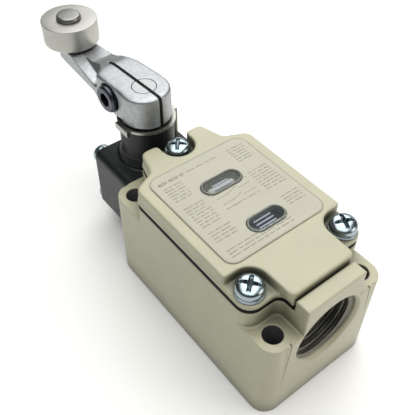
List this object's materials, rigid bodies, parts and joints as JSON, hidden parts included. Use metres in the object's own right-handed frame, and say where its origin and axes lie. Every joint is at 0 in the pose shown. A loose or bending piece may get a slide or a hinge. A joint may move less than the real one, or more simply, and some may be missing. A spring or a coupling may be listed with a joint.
{
  "type": "limit switch",
  "caption": "Box limit switch with a roller lever on a side-rotary head, a beige cast case, a windowed cover and a threaded conduit entry.",
  "frame": {"origin": "centre of the four mounting holes, on the flat mounting face of the case", "axes": "+Z out of the cover, parallel to the lever shaft; +Y along the case towards the head and lever; +X across the case. The switch lies on its mounting face."},
  "size_m": [0.04, 0.1258, 0.0599],
  "materials": {
    "case_paint": "smooth semi-gloss beige paint on die casting, fine orange peel",
    "label": "thin satin printed plate, a little greyer than the paint",
    "rubber": "matt black nitrile rubber",
    "zinc_plate": "bright blue-white zinc plating",
    "clear_lens": "clear polished polycarbonate",
    "dark_moulding": "dark grey moulded thermoset",
    "lamp_glass": "frosted lamp glass",
    "spring_steel": "bright spring wire",
    "white_print": "white moulded bars",
    "brass": "stamped brass",
    "bronze": "sintered bronze",
    "black_cast": "black semi-gloss paint on die casting",
    "plate_steel": "pressed plated steel plate",
    "steel": "ground steel",
    "red_moulding": "red moulded button",
    "cast_alloy": "tumbled die-cast alloy, fine matt grain",
    "black_oxide": "black oxide steel",
    "roller_steel": "sintered stainless steel, satin"
  },
  "bodies": {
    "case": {"body_case": "case_paint", "cover": "case_paint", "cover_gasket": "rubber", "cover_screws": "zinc_plate", "cover_washers": "zinc_plate", "name_plate": "label", "lamp_window": "clear_lens", "index_window": "clear_lens", "lamp_holder": "dark_moulding", "lamp": "lamp_glass", "lamp_springs": "spring_steel", "index_bars": "white_print", "switch_base": "dark_moulding", "switch_lid": "dark_moulding", "switch_screws": "zinc_plate", "nc_contacts": "brass", "no_contacts": "brass", "terminal_washers": "zinc_plate", "terminal_screws": "zinc_plate", "ground_screw": "zinc_plate", "contact_spring": "spring_steel", "head_block": "black_cast", "head_gasket": "rubber", "head_screws": "zinc_plate", "bearing_cap": "black_cast", "shaft_bushing": "bronze", "shaft_seal": "rubber", "indicator_plate": "plate_steel", "dust_washer": "rubber", "plunger_guide": "bronze", "plunger_seal": "rubber", "return_spring": "spring_steel"},
    "plunger": {"operating_plunger": "steel"},
    "switch_button": {"switch_pin": "red_moulding", "contact_bridge": "brass"},
    "lever": {"rotary_shaft": "steel", "cam": "steel", "retaining_ring": "steel", "lever_arm": "cast_alloy", "clamp_bolt": "black_oxide", "roller_pin": "roller_steel", "roller_washer": "black_oxide"},
    "roller": {"roller": "roller_steel"}
  },
  "joints": [
    {"name": "lever_rotation", "type": "hinge", "parent": "case", "child": "lever", "pos_m": [0, 0.0446, 0.0485], "axis": [0, 0, 1], "range_deg": [-45, 45], "stiffness_Nm_per_rad": 0.3},
    {"name": "roller_spin", "type": "hinge", "parent": "lever", "child": "roller", "pos_m": [-0.00219, 0.08254, 0.0548], "axis": [0, 0, 1], "continuous": true},
    {"name": "plunger_slide", "type": "slide", "parent": "case", "child": "plunger", "axis": [0, -1, 0], "range_m": [-0.00175, 0.00175], "deforming": ["return_spring"]},
    {"name": "button_slide", "type": "slide", "parent": "case", "child": "switch_button", "axis": [0, -1, 0], "range_m": [-0.00175, 0.00175], "deforming": ["contact_spring"]}
  ],
  "couplings": [
    {"joint": "plunger_slide", "follows": "lever_rotation", "m_per_rad": 0.0022},
    {"joint": "button_slide", "follows": "lever_rotation", "m_per_rad": 0.0022}
  ]
}
